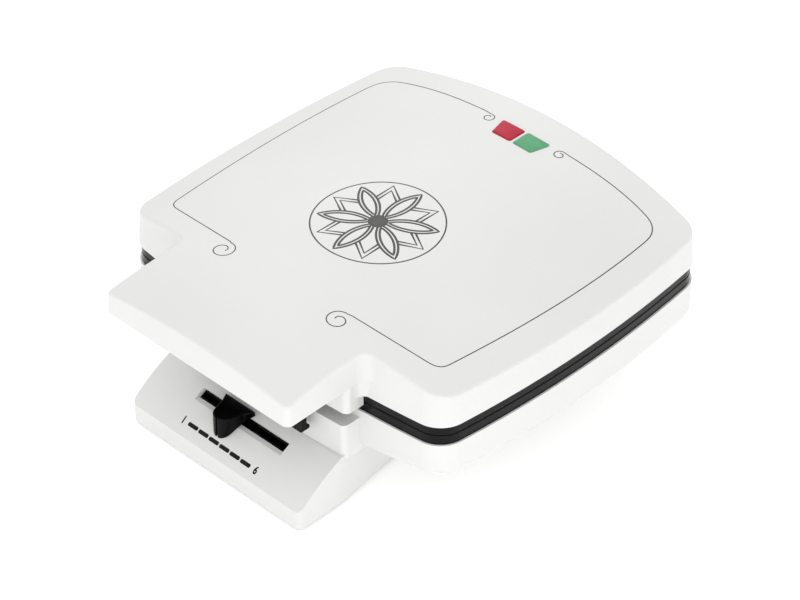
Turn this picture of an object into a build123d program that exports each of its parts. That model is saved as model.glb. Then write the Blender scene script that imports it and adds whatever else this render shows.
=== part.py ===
"""Bricelet iron: a countertop cooker for thin embossed waffle biscuits.

+Z is up, +Y points to the rear (the hinge), -Y to the user (the handle), +X to the user's right.
The origin is the middle of the whole box, at the level of the surface that the iron stands on.
All sizes are millimetres.
"""
import os
from math import acos, atan2, cos, pi, radians, sin, sqrt, tan

from build123d import *

# Driving dimensions of the body, seen from above
body_width = 281.4
side_bow = 7.8
body_depth = 251.7
front_bow = 9.3
rear_bow = 12.7
corner_radius = 19.0
tongue_reach = 59.4
tongue_width = 156.0
tongue_root_width = 151.0
tongue_corner = 4.5
root_fillet = 8.0
block_reach = 13.0
knuckle_radius = 6.0
hinge_clearance = 0.8

# Heights above the table
overall_height = 114.3
lid_share = 0.38145
rim_height = 6.65
parting_gap = 0.3
tongue_rise_share = 0.33967
skirt_drop = 1.9
block_drop = 12.2
belly_height = 26.4
foot_height = 1.5

# Crowned surfaces of the lid and of the lower housing
crown_radius = 570.0
droop_radius = 321.0
belly_radius = 900.0
belly_sweep_radius = 1900.0
belly_low_setback = 150.0
draft_angle = 4.0
top_edge_fillet = 2.0
belly_edge_fillet = 7.0

# Walls and clearances
wall = 2.6
rim_inset = 1.2
rim_wall = 2.4
seat_gap = 0.1
screw_gap = 0.2
head_gap = 0.3
run_clearance = 0.4
fit_clearance = 0.05

# Console under the handle
console_width = 146.6
console_rear_width = 101.0
console_front_height = 14.2
console_rear_height = 36.0
console_reach = 34.7
console_arc_rise = 1.8
console_corner = 4.0
console_wall = 2.0
console_neck_width = 132.6
console_neck_reach = 48.0
console_rear_taper = 0.3
plinth_rear_margin = 20.0

# Baking plates
plate_side_margin = 21.9
plate_end_margin = 30.85
plate_recess = 0.65
rim_flange_gap = 2.7
plate_corner = 14.0
plate_thickness = 9.5
plate_flange = 3.0
plate_flange_reach = 5.0
mould_diameter = 88.0
mould_side_shift = 1.5
mould_depth = 0.9
petal_width = 10.4
petal_line = 1.2
petal_margin = 4.0
petal_start = 5.0
flower_eye_diameter = 8.0
petal_count = 8

# Heating elements and heat shields
element_diameter = 6.6
element_side_margin = 29.0
element_end_margin = 25.0
element_bend = 16.0
element_tail = 34.0
element_tail_spacing = 44.0
shield_margin = 7.0
shield_corner = 8.0
shield_sheet = 0.8
shield_lip = 3.0
boss_diameter = 10.0
plate_boss_length = 10.0
boss_margin = 22.0
post_margin = 15.0
plate_screw_diameter = 4.0
plate_screw_head = 7.6
plate_screw_head_height = 2.8
plate_screw_length = 8.0

# Regulator
slot_centre_x = 1.3
slot_length = 73.3
slot_width = 6.3
slot_bevel = 3.2
slot_end_bevel = 0.6
slot_bevel_depth = 1.6
slot_setback = 11.0
knob_x = -5.8
knob_width = 25.4
knob_length = 20.0
knob_top = 37.2
knob_overhang = 4.7
knob_waist_width = 18.6
knob_waist_setback = 6.7
knob_tip_width = 14.0
knob_tip_arc = 5.0
knob_lift = 0.5
knob_edge_fillet = 1.0
pointer_width = 1.4
pointer_length = 2.0
neck_length = 10.0
neck_thickness = 3.0
gear_module = 1.5
pinion_teeth = 18
pinion_height = 6.0
pinion_level = 12.0
spindle_diameter = 6.0
spindle_seat_height = 5.0
pinion_setback = 28.2
knob_travel_left = 24.1
knob_travel_right = 38.3
thermostat_diameter = 24.0
thermostat_height = 8.4
thermostat_floor = 30.0
tab_width = 6.3
tab_length = 12.0
tab_thickness = 0.8
tab_pitch = 16.0
tab_level = 3.0
bracket_width = 48.0
bracket_foot = 9.0
bracket_sheet = 1.5
bracket_depth = 18.0
pressure_angle = 20.0
tooth_addendum = 0.8
tooth_dedendum = 1.1
tooth_backlash = 0.35
rack_bar = 5.3
rack_foot = 1.6
rack_overrun = 3.6
rail_gap = 0.3
rail_lip = 2.5
rail_wall = 2.9
rail_half_length = 66.0
neck_rise = 3.9
shoe_length = 24.0
shoe_width = 11.0
shoe_thickness = 2.0
arm_width = 8.0
arm_front = 0.5
arm_top_reach = 5.2
arm_top_drop = 4.8
arm_front_drop = 8.0
arm_lower_drop = 12.0
arm_elbow_reach = 9.0
arm_elbow_foot = 4.0
arm_foot_rise = 1.5
tooth_row = 15
tooth_row_start = -9

# Latch
latch_width = 100.0
latch_pivot_drop = 6.4
latch_pivot_reach = 6.6
latch_pin_diameter = 3.0
latch_barrel_radius = 3.6
latch_thickness = 3.2
latch_reach_down = 11.2
latch_nose_height = 3.0
latch_nose_gap = 0.5
latch_lean = 0.8
latch_shoulder_drop = 12.0
latch_corner = 1.2
lug_radius = 3.8
lug_width = 3.5
lug_gap = 1.5
catch_width = 76.0
catch_height = 2.4
catch_reach = 2.2

# Hinge
hinge_pin_diameter = 4.0
lid_barrel_width = 76.0
ear_width = 18.0
pin_start_x = 18.0
ear_drop = 30.0
ear_rim_gap = 1.5
arm_rise = 4.0

# Lamp windows
lamp_depth = 15.0
lamp_front_width = 15.4
lamp_rear_width = 19.2
lamp_gap = 2.0
lamp_rear_margin = 26.2
lamp_proud = 0.9
lamp_clearance = 0.15
lamp_corner = 1.8
lamp_root = 8.0
lamp_head = 4.0
lamp_flange_reach = 0.8
holder_width = 46.5
holder_margin = 2.0
holder_drop = 16.0
holder_floor = 2.0
holder_wall = 1.5
holder_wall_height = 3.0
neon_diameter = 6.0
neon_length = 12.0
neon_pitch = 18.0

# Fasteners, feet and electrical parts
foot_diameter = 14.0
foot_stem_diameter = 5.0
foot_button_diameter = 6.8
foot_button_height = 1.6
front_foot_pitch = 114.0
front_foot_inset = 22.0
rear_foot_pitch = 82.0
rear_foot_inset = 11.0
small_screw_diameter = 3.0
small_screw_head = 5.6
small_screw_head_height = 1.6
small_screw_length = 8.0
rim_screw_head_height = 1.8
rim_screw_sink = 2.2
rim_screw_length = 11.0
pilot_depth = 9.0
screw_boss_diameter = 8.8
handle_boss_diameter = 8.0
rim_screw_side = 8.9
rim_screw_front = 9.3
rim_screw_rear = 11.4
handle_screw_pitch = 124.0
handle_screw_inset = 17.0
handle_cover_thickness = 2.0
cover_boss_diameter = 7.0
cover_boss_height = 24.0
cover_pilot_depth = 7.0
cover_screw_inset = 5.0
cover_screw_front_pitch = 120.0
cover_screw_rear_pitch = 40.0
cover_screw_sink = 1.4
cover_screw_head_height = 1.2
cover_thickness = 2.5
lead_diameter = 2.4
gland_diameter = 12.0
gland_bore = 6.6
gland_level = 12.0
gland_flange = 3.0
gland_reach = 6.0
terminal_width = 36.0
terminal_depth = 16.0
terminal_height = 14.0
terminal_pitch = 12.0
terminal_setback = 37.15
terminal_bore = 5.2
vent_length = 24.0
vent_width = 3.0
vent_pitch = 10.0
vent_front_setback = 119.0
vent_rear_setback = 79.0
clamp_width = 26.0
clamp_setback = 18.0
clamp_depth = 8.0
clamp_arm = 8.0
clamp_cover = 4.0
fuse_x = 34.0
fuse_length = 16.0
fuse_diameter = 6.0
fuse_clip_width = 8.0
fuse_clip_length = 6.0
fuse_clip_offset = 5.0

# Sizes and places worked out from the driving dimensions
corner_width = body_width - 2 * side_bow
parting_height = round(overall_height * (1 - lid_share), 3)
skirt_bottom = parting_height - skirt_drop
block_top = parting_height - block_drop
latch_bottom = block_top - latch_reach_down
plate_width = corner_width - 2 * plate_side_margin
plate_depth = body_depth - 2 * plate_end_margin
mould_pitch_x = plate_width / 2 - 2 * mould_side_shift
mould_pitch_y = plate_depth / 2
element_width = plate_width - 2 * element_side_margin
element_depth = plate_depth - 2 * element_end_margin
shield_width = plate_width - 2 * shield_margin
shield_depth = plate_depth - 2 * shield_margin
boss_pitch_x = element_width - 2 * boss_margin
boss_pitch_y = element_depth - 2 * boss_margin
post_pitch_x = plate_width - 2 * post_margin
post_pitch_y = plate_depth - 2 * post_margin
hinge_reach = 2 * knuckle_radius + hinge_clearance
overall_length = tongue_reach + body_depth + hinge_reach
tongue_front = -overall_length / 2
body_front = tongue_front + tongue_reach
body_rear = body_front + body_depth
body_middle = (body_front + body_rear) / 2
hinge_y = body_rear + hinge_clearance + knuckle_radius
block_front = body_front - block_reach
front_corner_y = body_front + front_bow
rear_corner_y = body_rear - rear_bow
lower_rim_top = parting_height - parting_gap / 2
lower_rim_bottom = lower_rim_top - rim_height
upper_rim_bottom = parting_height + parting_gap / 2
lid_bottom = upper_rim_bottom + rim_height
tongue_underside = round(lid_bottom + tongue_rise_share * (overall_height - lid_bottom), 3)
latch_pivot_height = tongue_underside - latch_pivot_drop
belly_low_y = body_front + belly_low_setback
far = 400.0


def bow_radius(half_chord, bow):
    """Radius of a bowed side from half its chord and from how far it stands out."""
    return (half_chord**2 + bow**2) / (2 * bow)


def body_outline(inset=0.0):
    """The body seen from above: four bowed sides with rounded corners."""
    front_radius = bow_radius(corner_width / 2, front_bow)
    rear_radius = bow_radius(corner_width / 2, rear_bow)
    side_radius = bow_radius((rear_corner_y - front_corner_y) / 2, side_bow)
    side_middle = (rear_corner_y + front_corner_y) / 2
    with BuildSketch(mode=Mode.PRIVATE) as plan:
        with Locations((0, body_front + front_radius)):
            Circle(front_radius - inset)
        with Locations((0, body_rear - rear_radius)):
            Circle(rear_radius - inset, mode=Mode.INTERSECT)
        for side in (-1, 1):
            with Locations((side * (body_width / 2 - side_radius), side_middle)):
                Circle(side_radius - inset, mode=Mode.INTERSECT)
        fillet(plan.vertices(), corner_radius - inset)
    return plan.sketch


def nose_outline(reach, front_half, root_half, root_y, corner, inset=0.0, bow=0.0):
    """A nose in front of the body, from reach ahead of it back to root_y, with round corners."""
    front_y = body_front - reach + inset
    with BuildSketch(mode=Mode.PRIVATE) as plan:
        with BuildLine():
            left = (-front_half + inset, front_y + bow)
            right = (front_half - inset, front_y + bow)
            if bow:
                ThreePointArc(left, (0, front_y), right)
            else:
                Line(left, right)
            Polyline(right, (root_half - inset, root_y), (-root_half + inset, root_y), left)
        make_face()
        corners = plan.vertices().group_by(Axis.Y)[0]
        fillet(corners, max(corner - inset, 1.0))
    return plan.sketch


def nose_bow(half_width):
    """Bow of a nose front that runs parallel to the bowed front of the body."""
    return front_bow * (2 * half_width / corner_width) ** 2


def lid_outline(nose, inset=0.0):
    """The body outline joined with a nose, with the inner corners at its root filleted."""
    with BuildSketch(mode=Mode.PRIVATE) as plan:
        add(body_outline(inset))
        add(nose)
        inner = [
            v
            for v in plan.vertices()
            if abs(abs(v.X) - tongue_root_width / 2 + inset) < 3 and v.Y > body_front - 2
        ]
        fillet(inner, root_fillet)
    return plan.sketch


def crown_block(inset=0.0):
    """All that lies under the crowned top: a barrel over the body that droops over the handle."""
    radius = crown_radius - inset
    top = overall_height - inset
    half = body_width / 2 + 20
    edge = top - radius + sqrt(radius**2 - half**2)
    axis_height = overall_height - droop_radius
    floor = skirt_bottom - 30
    with BuildPart(mode=Mode.PRIVATE) as block:
        with BuildSketch(Plane.XZ.offset(-body_front)) as profile:
            with BuildLine():
                ThreePointArc((-half, edge), (0, top), (half, edge))
                Polyline((half, edge), (half, floor), (-half, floor), (-half, edge))
            make_face()
        extrude(amount=-far)
        revolve(
            profile.sketch,
            axis=Axis((0, body_front, axis_height), (1, 0, 0)),
            revolution_arc=16,
        )
    return block.part


def belly_block(inset=0.0):
    """All that lies above the underside of the lower housing, which is crowned both ways."""
    radius = belly_radius - inset
    half = body_width / 2 + 20
    edge = belly_height + belly_radius - sqrt(radius**2 - half**2)
    ring = Axis((0, belly_low_y, belly_height + belly_sweep_radius), (1, 0, 0))
    with BuildPart(mode=Mode.PRIVATE) as block:
        with BuildSketch(Plane.XZ.offset(-belly_low_y), mode=Mode.PRIVATE) as profile:
            with BuildLine():
                ThreePointArc((-half, edge), (0, belly_height + inset), (half, edge))
                Polyline((half, edge), (half, far), (-half, far), (-half, edge))
            make_face()
        revolve(profile.sketch.rotate(ring, -8), axis=ring, revolution_arc=16)
    return block.part


def rounded_block(width, depth, height, corner, level, middle_y=body_middle, up=1):
    """A plate with rounded corners that starts at a level and grows up (or down for -1)."""
    with BuildPart(mode=Mode.PRIVATE) as block:
        with BuildSketch(Plane.XY.offset(level)):
            with Locations((0, middle_y)):
                RectangleRounded(width, depth, corner)
        extrude(amount=up * height)
    return block.part


def save(piece, name):
    """Label a finished piece and write its STEP file."""
    piece.label = name
    export_step(piece, f"parts/{name}.step")


def over_parting(piece):
    """The same piece turned over the parting plane, for the upper half."""
    return mirror(piece, about=Plane.XY.offset(parting_height))


os.makedirs("parts", exist_ok=True)

# Upper housing: the white lid shell with the handle tongue and the skirt under it
block_half = tongue_root_width / 2
block_bow = nose_bow(block_half)
inner_inset = wall + (overall_height - lid_bottom) * tan(radians(draft_angle)) / 2
draft_at_tongue = (tongue_underside - lid_bottom) * tan(radians(draft_angle))
crown_height = overall_height - lid_bottom + 1
block_nose = nose_outline(
    block_reach, block_half, block_half, body_middle, console_corner, bow=block_bow
)
block_nose_inner = nose_outline(
    block_reach, block_half, block_half, body_middle, console_corner, inner_inset, block_bow
)
tongue_nose = nose_outline(
    tongue_reach, tongue_width / 2, block_half, body_middle, tongue_corner
)
with BuildSketch() as tongue_pocket:
    add(
        nose_outline(
            tongue_reach, tongue_width / 2, block_half, body_middle, tongue_corner, inner_inset
        )
    )
    add(block_nose, mode=Mode.SUBTRACT)
    add(body_outline(), mode=Mode.SUBTRACT)
with BuildSketch() as cover_plan:
    add(tongue_pocket.sketch)
    offset(amount=-seat_gap)

lamp_back = body_rear - lamp_rear_margin
lamp_front = lamp_back - lamp_depth


def lamp_outline(side, grow=0.0):
    """One lamp window seen from above: straight on the inside, slanting on the outside."""
    inner = lamp_gap / 2
    with BuildSketch(mode=Mode.PRIVATE) as plan:
        with BuildLine():
            Polyline(
                (side * inner, lamp_front),
                (side * (inner + lamp_front_width), lamp_front),
                (side * (inner + lamp_rear_width), lamp_back),
                (side * inner, lamp_back),
                close=True,
            )
        make_face()
        fillet(plan.vertices(), lamp_corner)
        if grow:
            offset(amount=grow)
    return plan.sketch


rim_screw_x = corner_width / 2 - rim_screw_side
rim_screw_front_y = front_corner_y + rim_screw_front
rim_screw_rear_y = rear_corner_y - rim_screw_rear
rim_screw_places = [
    (side * rim_screw_x, y) for side in (-1, 1) for y in (rim_screw_front_y, rim_screw_rear_y)
]
post_places = [
    (sx * post_pitch_x / 2, body_middle + sy * post_pitch_y / 2)
    for sx in (-1, 1)
    for sy in (-1, 1)
]
boss_places = [
    (sx * boss_pitch_x / 2, body_middle + sy * boss_pitch_y / 2)
    for sx in (-1, 1)
    for sy in (-1, 1)
]
plate_top = lower_rim_top - plate_recess
plate_bottom = plate_top - plate_thickness
shield_top = plate_bottom - plate_boss_length
shield_bottom = shield_top - shield_sheet
upper_shield_top = 2 * parting_height - shield_bottom
handle_screw_y = tongue_front + handle_screw_inset
handle_screw_places = [(side * handle_screw_pitch / 2, handle_screw_y) for side in (-1, 1)]
barrel_half = lid_barrel_width / 2

with BuildPart() as lid_cavity:
    with BuildSketch(Plane.XY.offset(skirt_bottom - 1)):
        add(block_nose_inner)
    extrude(amount=overall_height - skirt_bottom)
    with BuildSketch(Plane.XY.offset(lid_bottom - 1)):
        add(body_outline(inner_inset))
    extrude(amount=crown_height)
    with BuildSketch(Plane.XY.offset(tongue_underside - 1)):
        add(tongue_pocket.sketch)
    extrude(amount=overall_height - tongue_underside)
    add(crown_block(wall), mode=Mode.INTERSECT)

with BuildPart() as lid_posts:
    with BuildSketch(Plane.XY.offset(upper_shield_top)):
        with Locations(post_places):
            Circle(boss_diameter / 2)
    extrude(amount=overall_height - upper_shield_top)
    with BuildSketch(Plane.XY.offset(lid_bottom)):
        with Locations(rim_screw_places):
            Circle(screw_boss_diameter / 2)
    extrude(amount=overall_height - lid_bottom)
    with BuildSketch(Plane.XY.offset(tongue_underside + handle_cover_thickness)):
        with Locations(handle_screw_places):
            Circle(handle_boss_diameter / 2)
    extrude(amount=overall_height - tongue_underside)
    add(crown_block(wall / 2), mode=Mode.INTERSECT)

with BuildPart() as upper_housing:
    with BuildSketch(Plane.XY.offset(tongue_underside)):
        add(lid_outline(tongue_nose, draft_at_tongue))
    extrude(amount=overall_height - tongue_underside + 1, taper=draft_angle)
    add(crown_block(), mode=Mode.INTERSECT)
    top_faces = [f for f in upper_housing.faces() if f.normal_at().Z > 0.5]
    top_edges = [e for f in top_faces for e in f.edges()]
    fillet(
        [e for e in top_edges if sum(e.is_same(o) for o in top_edges) == 1],
        top_edge_fillet,
    )
    with BuildSketch(Plane.XY.offset(lid_bottom)):
        add(body_outline())
    extrude(amount=tongue_underside - lid_bottom, taper=draft_angle)
    with BuildSketch(Plane.XY.offset(skirt_bottom)):
        add(block_nose)
        add(body_outline(rim_inset - run_clearance), mode=Mode.SUBTRACT)
    extrude(amount=lid_bottom - skirt_bottom)
    with BuildSketch(Plane.XY.offset(lid_bottom)):
        add(lid_outline(block_nose, draft_at_tongue))
    extrude(amount=tongue_underside - lid_bottom)
    add(lid_cavity.part, mode=Mode.SUBTRACT)
    add(lid_posts.part)
    # Arm and barrel of the hinge
    with BuildSketch(Plane.YZ) as arm_profile:
        with BuildLine():
            Polyline(
                (hinge_y - knuckle_radius + 0.1, parting_height),
                (hinge_y + knuckle_radius - 0.1, parting_height),
                (body_rear - wall / 2, tongue_underside + arm_rise),
                (body_rear - 0.9 * wall, tongue_underside + arm_rise),
                (body_rear - 0.9 * wall, lid_bottom),
                (hinge_y - knuckle_radius + 0.1, lid_bottom),
                close=True,
            )
        make_face()
        with Locations((hinge_y, parting_height)):
            Circle(knuckle_radius)
    extrude(amount=barrel_half, both=True)
    with BuildSketch(Plane.YZ.offset(-far / 2)):
        with Locations((hinge_y, parting_height)):
            Circle(hinge_pin_diameter / 2 + fit_clearance)
    extrude(amount=far / 2 - pin_start_x, mode=Mode.SUBTRACT)
    with BuildSketch(Plane.YZ.offset(pin_start_x)):
        with Locations((hinge_y, parting_height)):
            Circle(hinge_pin_diameter / 2 + fit_clearance)
    extrude(amount=far / 2, mode=Mode.SUBTRACT)
    for side in (-1, 1):
        with BuildSketch(Plane.XY.offset(lid_bottom)):
            add(lamp_outline(side, lamp_clearance))
        extrude(amount=crown_height + 5, mode=Mode.SUBTRACT)
    # Pilot holes for the rim screws and the handle screws
    with BuildSketch(Plane.XY.offset(lid_bottom)):
        with Locations(rim_screw_places):
            Circle(small_screw_diameter / 2)
    extrude(amount=pilot_depth, mode=Mode.SUBTRACT)
    with BuildSketch(Plane.XY.offset(tongue_underside)):
        with Locations(handle_screw_places):
            Circle(small_screw_diameter / 2)
    extrude(amount=pilot_depth, mode=Mode.SUBTRACT)
save(upper_housing.part, "upper_housing")

# Lamp windows, their holder and the two neon lamps behind them
for side, lamp_name in ((-1, "lamp_window_red"), (1, "lamp_window_green")):
    with BuildPart() as lamp_flange:
        with BuildSketch(Plane.XY.offset(overall_height - lamp_root)):
            add(lamp_outline(side, lamp_flange_reach))
        extrude(amount=lamp_root + lamp_head)
        add(crown_block(wall), mode=Mode.INTERSECT)
    with BuildPart() as lamp_window:
        with BuildSketch(Plane.XY.offset(overall_height - lamp_root)):
            add(lamp_outline(side))
        extrude(amount=lamp_root + lamp_head)
        add(crown_block(-lamp_proud), mode=Mode.INTERSECT)
        add(lamp_flange.part)
    save(lamp_window.part, lamp_name)

lamp_y = (lamp_front + lamp_back) / 2
holder_depth = lamp_depth + 2 * holder_margin
holder_level = overall_height - holder_drop
holder_top = holder_level + holder_floor
with BuildPart() as lamp_holder:
    with BuildSketch(Plane.XY.offset(holder_level)):
        with Locations((0, lamp_y)):
            RectangleRounded(holder_width, holder_depth, 2)
    extrude(amount=holder_floor)
    with BuildSketch(Plane.XY.offset(holder_top)):
        with Locations((0, lamp_y)):
            Rectangle(holder_width, holder_depth)
            Rectangle(
                holder_width - 2 * holder_wall, holder_depth - 2 * holder_wall, mode=Mode.SUBTRACT
            )
    extrude(amount=holder_wall_height)
    with BuildSketch(Plane.XY.offset(holder_top)):
        with Locations((0, lamp_y)):
            Rectangle(holder_wall, holder_depth - holder_wall)
    extrude(amount=1.5 * holder_wall_height)
    with BuildSketch(Plane.XY.offset(holder_top + holder_wall_height)):
        for side in (-1, 1):
            with Locations((side * (holder_width - holder_wall) / 2, lamp_y)):
                Rectangle(holder_wall, holder_depth)
    extrude(amount=holder_drop)
    add(crown_block(wall), mode=Mode.INTERSECT)
save(lamp_holder.part, "lamp_holder")

with BuildPart() as neon_lamps:
    for side in (-1, 1):
        with BuildSketch(Plane.XZ.offset(-(lamp_front + 1))):
            with Locations((side * neon_pitch / 2, holder_top + neon_diameter / 2)):
                Circle(neon_diameter / 2)
        extrude(amount=-neon_length)
        fillet(
            neon_lamps.edges().filter_by(GeomType.CIRCLE).group_by(Axis.Y)[-1],
            neon_diameter / 2 - 0.5,
        )
save(neon_lamps.part, "neon_lamps")

# Handle cover with the two lugs of the latch, and its screws
latch_y = block_front - latch_pivot_reach
lug_inner = latch_width / 2 + lug_gap
with BuildPart() as handle_cover:
    with BuildSketch(Plane.XY.offset(tongue_underside)):
        add(cover_plan.sketch)
        with Locations(handle_screw_places):
            Circle(small_screw_diameter / 2 + screw_gap, mode=Mode.SUBTRACT)
    extrude(amount=handle_cover_thickness)
    for side in (-1, 1):
        lug_start = lug_inner if side > 0 else -lug_inner - lug_width
        with BuildSketch(Plane.YZ.offset(lug_start)):
            with BuildLine():
                Polyline(
                    (latch_y - lug_radius, tongue_underside + handle_cover_thickness / 2),
                    (latch_y - lug_radius, latch_pivot_height),
                    (latch_y + lug_radius, latch_pivot_height),
                    (latch_y + lug_radius, tongue_underside + handle_cover_thickness / 2),
                    close=True,
                )
            make_face()
            with Locations((latch_y, latch_pivot_height)):
                Circle(lug_radius)
                Circle(latch_pin_diameter / 2, mode=Mode.SUBTRACT)
        extrude(amount=lug_width)
save(handle_cover.part, "handle_cover")

with BuildPart() as handle_screws:
    with BuildSketch(Plane.XY.offset(tongue_underside)):
        with Locations(handle_screw_places):
            Circle(small_screw_head / 2)
    extrude(amount=-small_screw_head_height)
    with BuildSketch(Plane.XY.offset(tongue_underside)):
        with Locations(handle_screw_places):
            Circle(small_screw_diameter / 2)
    extrude(amount=small_screw_length)
save(handle_screws.part, "handle_screws")

with BuildPart() as latch_pin:
    with BuildSketch(Plane.YZ):
        with Locations((latch_y, latch_pivot_height)):
            Circle(latch_pin_diameter / 2)
    extrude(amount=lug_inner + lug_width + lug_gap / 3, both=True)
save(latch_pin.part, "latch_pin")

# Latch clip: a barrel on the pin, a plate that hangs down and a nose for the catch rib
nose_top = latch_bottom + latch_nose_height
catch_level = nose_top + latch_nose_gap
latch_front = latch_y - latch_thickness / 2
latch_back = latch_y + latch_thickness / 2
shoulder = latch_pivot_height - latch_shoulder_drop
nose_tip = block_front - catch_reach - run_clearance
with BuildPart() as latch:
    with BuildSketch(Plane.YZ):
        with Locations((latch_y, latch_pivot_height)):
            Circle(latch_barrel_radius)
        with BuildLine():
            Polyline(
                (latch_y - latch_barrel_radius, latch_pivot_height),
                (latch_front - latch_lean / 2, shoulder),
                (latch_front - latch_lean, latch_bottom),
                (nose_tip - latch_lean, latch_bottom),
                (nose_tip, latch_bottom + latch_nose_height / 2),
                (nose_tip, nose_top),
                (latch_back, nose_top),
                (latch_back, shoulder),
                (latch_y + latch_barrel_radius, latch_pivot_height),
                close=True,
            )
        make_face()
        with Locations((latch_y, latch_pivot_height)):
            Circle(latch_pin_diameter / 2 + fit_clearance, mode=Mode.SUBTRACT)
    extrude(amount=latch_width / 2, both=True)
    fillet(latch.edges().filter_by(Axis.Y).group_by(Axis.Z)[0], latch_corner)
save(latch.part, "latch")


rim_ledge = plate_top - plate_flange
flange_width = plate_width + 2 * plate_flange_reach
flange_depth = plate_depth + 2 * plate_flange_reach
flange_corner = plate_corner + plate_flange_reach
with BuildPart() as lower_rim:
    with BuildSketch(Plane.XY.offset(lower_rim_bottom)):
        add(body_outline(rim_inset))
    extrude(amount=rim_height)
    fillet(lower_rim.edges().group_by(Axis.Z)[-1], 0.8)
    with BuildSketch(Plane.XY.offset(lower_rim_bottom)):
        add(body_outline(rim_inset + rim_wall))
        with Locations((0, body_middle)):
            RectangleRounded(
                flange_width + 2 * rim_flange_gap, flange_depth + 2 * rim_flange_gap,
                flange_corner + rim_flange_gap, mode=Mode.SUBTRACT,
            )
        with Locations(rim_screw_places):
            Circle(screw_boss_diameter / 2, mode=Mode.SUBTRACT)
    extrude(amount=rim_height - rim_wall, mode=Mode.SUBTRACT)
    add(
        rounded_block(
            flange_width + 2 * seat_gap, flange_depth + 2 * seat_gap, rim_height + 1,
            flange_corner, rim_ledge,
        ),
        mode=Mode.SUBTRACT,
    )
    add(
        rounded_block(
            plate_width + 2 * seat_gap, plate_depth + 2 * seat_gap, rim_height + 2,
            plate_corner, lower_rim_bottom - 1,
        ),
        mode=Mode.SUBTRACT,
    )
    with BuildSketch(Plane.XY.offset(lower_rim_bottom)):
        with Locations(rim_screw_places):
            Circle(small_screw_diameter / 2 + screw_gap)
    extrude(amount=rim_height, mode=Mode.SUBTRACT)
    with BuildSketch(Plane.XY.offset(lower_rim_top)):
        with Locations(rim_screw_places):
            Circle(small_screw_head / 2 + head_gap)
    extrude(amount=-rim_screw_sink, mode=Mode.SUBTRACT)
save(lower_rim.part, "lower_rim")
save(over_parting(lower_rim.part), "upper_rim")

with BuildPart() as lower_rim_screws:
    with BuildSketch(Plane.XY.offset(lower_rim_top - rim_screw_sink)):
        with Locations(rim_screw_places):
            Circle(small_screw_head / 2)
    extrude(amount=rim_screw_head_height)
    with BuildSketch(Plane.XY.offset(lower_rim_top - rim_screw_sink)):
        with Locations(rim_screw_places):
            Circle(small_screw_diameter / 2)
    extrude(amount=-rim_screw_length)
save(lower_rim_screws.part, "lower_rim_screws")
save(over_parting(lower_rim_screws.part), "upper_rim_screws")

# Baking plates: a flange on the rim ledge, four round moulds with raised petals
mould_places = [
    (sx * mould_pitch_x / 2, body_middle + sy * mould_pitch_y / 2)
    for sx in (-1, 1)
    for sy in (-1, 1)
]
petal_length = mould_diameter / 2 - petal_start - petal_margin
with BuildPart() as lower_baking_plate:
    add(
        rounded_block(flange_width, flange_depth, plate_flange, flange_corner, rim_ledge)
    )
    add(rounded_block(plate_width, plate_depth, plate_thickness, plate_corner, plate_bottom))
    with BuildSketch(Plane.XY.offset(plate_bottom)):
        with Locations(boss_places):
            Circle(boss_diameter / 2)
    extrude(amount=-plate_boss_length)
    with BuildSketch(Plane.XY.offset(plate_top)):
        with Locations(mould_places):
            Circle(mould_diameter / 2)
    extrude(amount=-mould_depth, mode=Mode.SUBTRACT)
    with BuildSketch(Plane.XY.offset(plate_top - mould_depth)):
        with Locations(mould_places):
            with PolarLocations(petal_length / 2 + petal_start, petal_count):
                Ellipse(petal_length / 2, petal_width / 2)
                Ellipse(
                    petal_length / 2 - petal_line, petal_width / 2 - petal_line, mode=Mode.SUBTRACT
                )
            Circle(flower_eye_diameter / 2)
    extrude(amount=mould_depth * 0.7)
    with BuildSketch(Plane.XY.offset(shield_top)):
        with Locations(boss_places):
            Circle(plate_screw_diameter / 2)
    extrude(amount=plate_boss_length, mode=Mode.SUBTRACT)
save(lower_baking_plate.part, "lower_baking_plate")
save(over_parting(lower_baking_plate.part), "upper_baking_plate")

# Heating elements: a tube loop under each plate with two tails at the rear
element_z = plate_bottom - element_diameter / 2
half_w = element_width / 2
half_d = element_depth / 2
half_t = element_tail_spacing / 2
tail_end = body_middle + half_d + element_tail
with BuildPart() as lower_heating_element:
    with BuildLine() as element_path:
        FilletPolyline(
            (-half_t, tail_end, element_z),
            (-half_t, body_middle + half_d, element_z),
            (-half_w, body_middle + half_d, element_z),
            (-half_w, body_middle - half_d, element_z),
            (half_w, body_middle - half_d, element_z),
            (half_w, body_middle + half_d, element_z),
            (half_t, body_middle + half_d, element_z),
            (half_t, tail_end, element_z),
            radius=element_bend,
        )
    with BuildSketch(Plane(origin=(-half_t, tail_end, element_z), z_dir=(0, -1, 0))):
        Circle(element_diameter / 2)
    sweep()
save(lower_heating_element.part, "lower_heating_element")
save(over_parting(lower_heating_element.part), "upper_heating_element")

# Heat shields: folded sheet trays screwed against the plate bosses
with BuildPart() as lower_heat_shield:
    add(
        rounded_block(
            shield_width, shield_depth, shield_sheet + shield_lip, shield_corner, shield_bottom
        )
    )
    add(
        rounded_block(
            shield_width - 2 * shield_sheet, shield_depth - 2 * shield_sheet,
            shield_lip + 1, shield_corner - shield_sheet, shield_top,
        ),
        mode=Mode.SUBTRACT,
    )
    with BuildSketch(Plane.XY.offset(shield_bottom)):
        with Locations(boss_places):
            Circle(plate_screw_diameter / 2 + screw_gap)
    extrude(amount=shield_sheet, mode=Mode.SUBTRACT)
save(lower_heat_shield.part, "lower_heat_shield")
save(over_parting(lower_heat_shield.part), "upper_heat_shield")

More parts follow.
